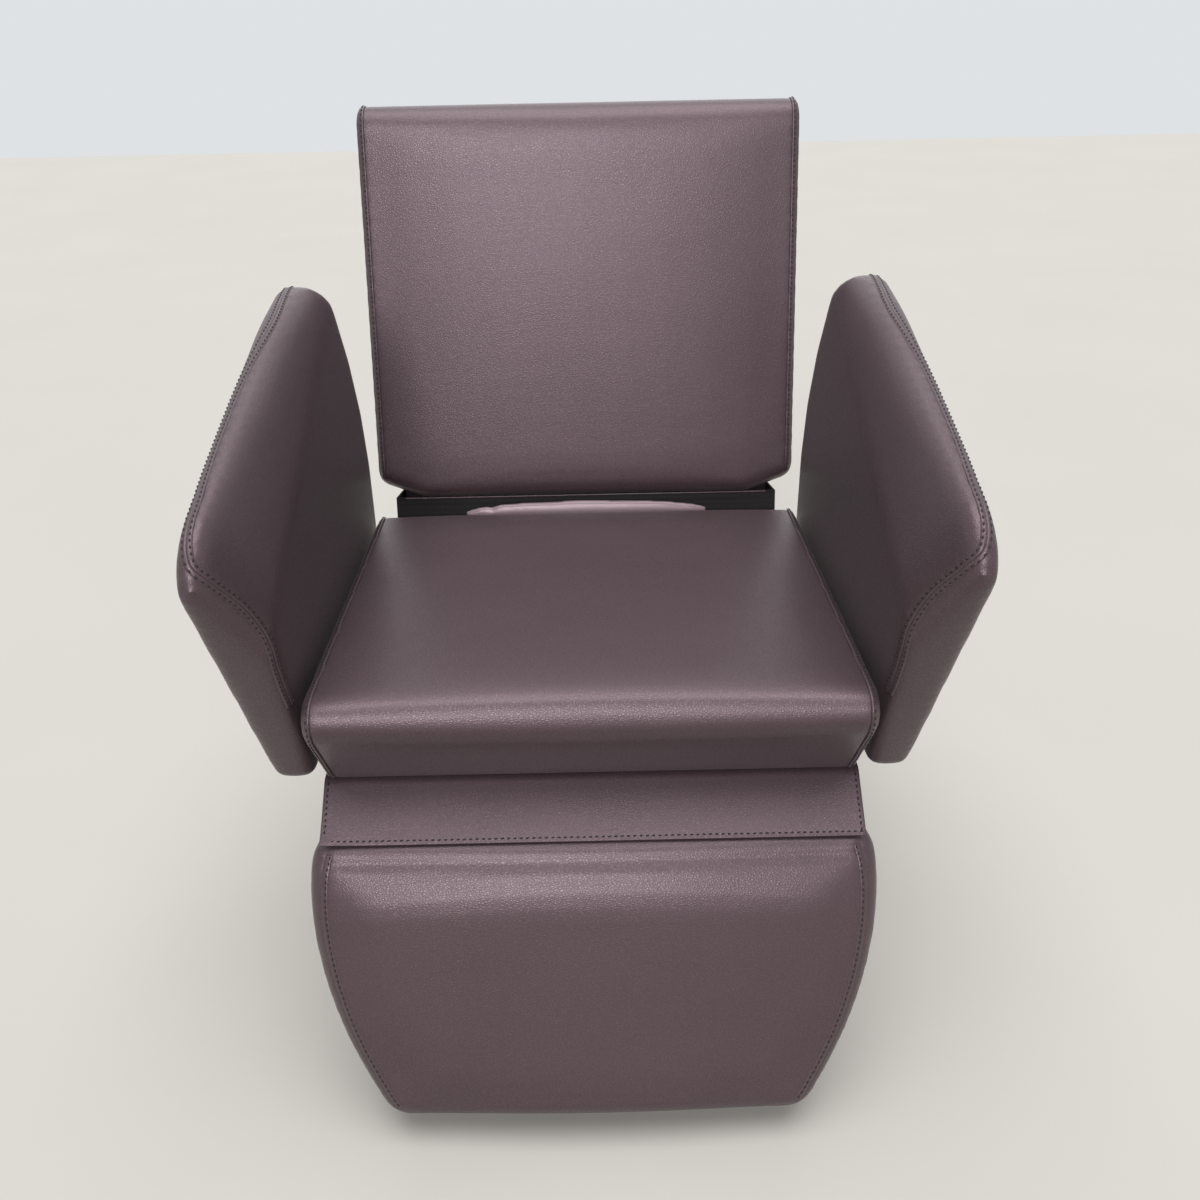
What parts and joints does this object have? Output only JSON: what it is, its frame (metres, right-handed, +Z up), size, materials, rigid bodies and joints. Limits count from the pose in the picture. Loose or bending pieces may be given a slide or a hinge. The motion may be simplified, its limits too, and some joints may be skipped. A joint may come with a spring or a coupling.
{
  "type": "salon foot care chair",
  "caption": "Reclining upholstered salon chair with padded arms and a leg rest that rises as the back goes down.",
  "frame": {"origin": "on the floor, at the middle of the four floor bolts", "axes": "+X to the sitter's left as seen from behind, that is right in front view; +Y to the rear; +Z up"},
  "size_m": [0.6548, 0.7708, 0.8982],
  "materials": {
    "vinyl_leather": "embossed PU leather with a fine pebble grain, satin, dark thread",
    "vinyl_back": "flat PU leather over board, satin",
    "painted_steel": "black powder coat, fine texture, semi matte",
    "cover_sheet": "black powder coat on folded sheet",
    "rubber_trim": "matte extruded rubber",
    "zinc_fasteners": "zinc-plated steel",
    "zinc_mechanism": "zinc-plated pressed steel",
    "nylon": "natural nylon",
    "plywood": "raw birch plywood"
  },
  "bodies": {
    "base": {"floor_plate": "painted_steel", "plate_trim": "rubber_trim", "column_side_left": "painted_steel", "column_side_right": "painted_steel", "column_cover_front": "cover_sheet", "column_cover_rear": "cover_sheet", "base_screws": "zinc_fasteners", "top_plate": "painted_steel", "frame_bolts": "zinc_fasteners", "rail_left": "painted_steel", "rail_right": "painted_steel", "rail_front": "painted_steel", "rail_mid_front": "painted_steel", "rail_mid_rear": "painted_steel", "rail_rear": "painted_steel", "seat_board": "plywood", "seat_cushion": "vinyl_leather", "gap_cover": "vinyl_leather", "arm_bracket_left": "painted_steel", "arm_bracket_right": "painted_steel", "arm_bolts": "zinc_fasteners", "arm_board_left": "plywood", "arm_board_right": "plywood", "arm_pad_left": "vinyl_leather", "arm_pad_right": "vinyl_leather", "hinge_bracket_left": "painted_steel", "hinge_bracket_right": "painted_steel", "recliner_fixed_left": "zinc_mechanism", "recliner_fixed_right": "zinc_mechanism", "leg_bracket_left": "painted_steel", "leg_bracket_right": "painted_steel", "leg_pins": "zinc_fasteners", "leg_spacers": "nylon", "return_spring": "zinc_mechanism"},
    "backrest": {"recliner_moving_left": "zinc_mechanism", "recliner_moving_right": "zinc_mechanism", "back_ear_left": "painted_steel", "back_ear_right": "painted_steel", "back_upright_left": "painted_steel", "back_upright_right": "painted_steel", "back_crossbars": "painted_steel", "back_screws": "zinc_fasteners", "back_board": "plywood", "back_cushion": "vinyl_leather", "back_shell": "vinyl_back", "back_tail": "vinyl_back", "rear_link_pins": "zinc_fasteners"},
    "leg_rest": {"leg_ear_left": "painted_steel", "leg_ear_right": "painted_steel", "leg_upright_left": "painted_steel", "leg_upright_right": "painted_steel", "leg_crossbars": "painted_steel", "leg_screws": "zinc_fasteners", "leg_board": "plywood", "leg_cushion": "vinyl_leather", "flap": "vinyl_leather", "front_link_pins": "zinc_fasteners"},
    "push_links": {"push_link_left": "zinc_mechanism", "push_link_right": "zinc_mechanism"},
    "release": {"release_lever": "painted_steel"}
  },
  "joints": [
    {"name": "backrest_recline", "type": "hinge", "parent": "base", "child": "backrest", "pos_m": [0, 0.262, 0.375], "axis": [-1, 0, 0], "range_deg": [0, 55]},
    {"name": "leg_rest_lift", "type": "hinge", "parent": "base", "child": "leg_rest", "pos_m": [0, -0.188, 0.33], "axis": [-1, 0, 0], "range_deg": [0, 55]},
    {"name": "push_link_swing", "type": "hinge", "parent": "backrest", "child": "push_links", "pos_m": [0, 0.30263, 0.29694], "axis": [-1, 0, 0], "range_deg": [-55, 0]},
    {"name": "release_lever_pull", "type": "hinge", "parent": "base", "child": "release", "pos_m": [0, 0.262, 0.375], "axis": [-1, 0, 0], "range_deg": [0, 12], "stiffness_Nm_per_rad": 4, "springref_deg": -20}
  ],
  "couplings": [
    {"joint": "leg_rest_lift", "follows": "backrest_recline", "ratio": 1},
    {"joint": "push_link_swing", "follows": "backrest_recline", "ratio": -1}
  ]
}
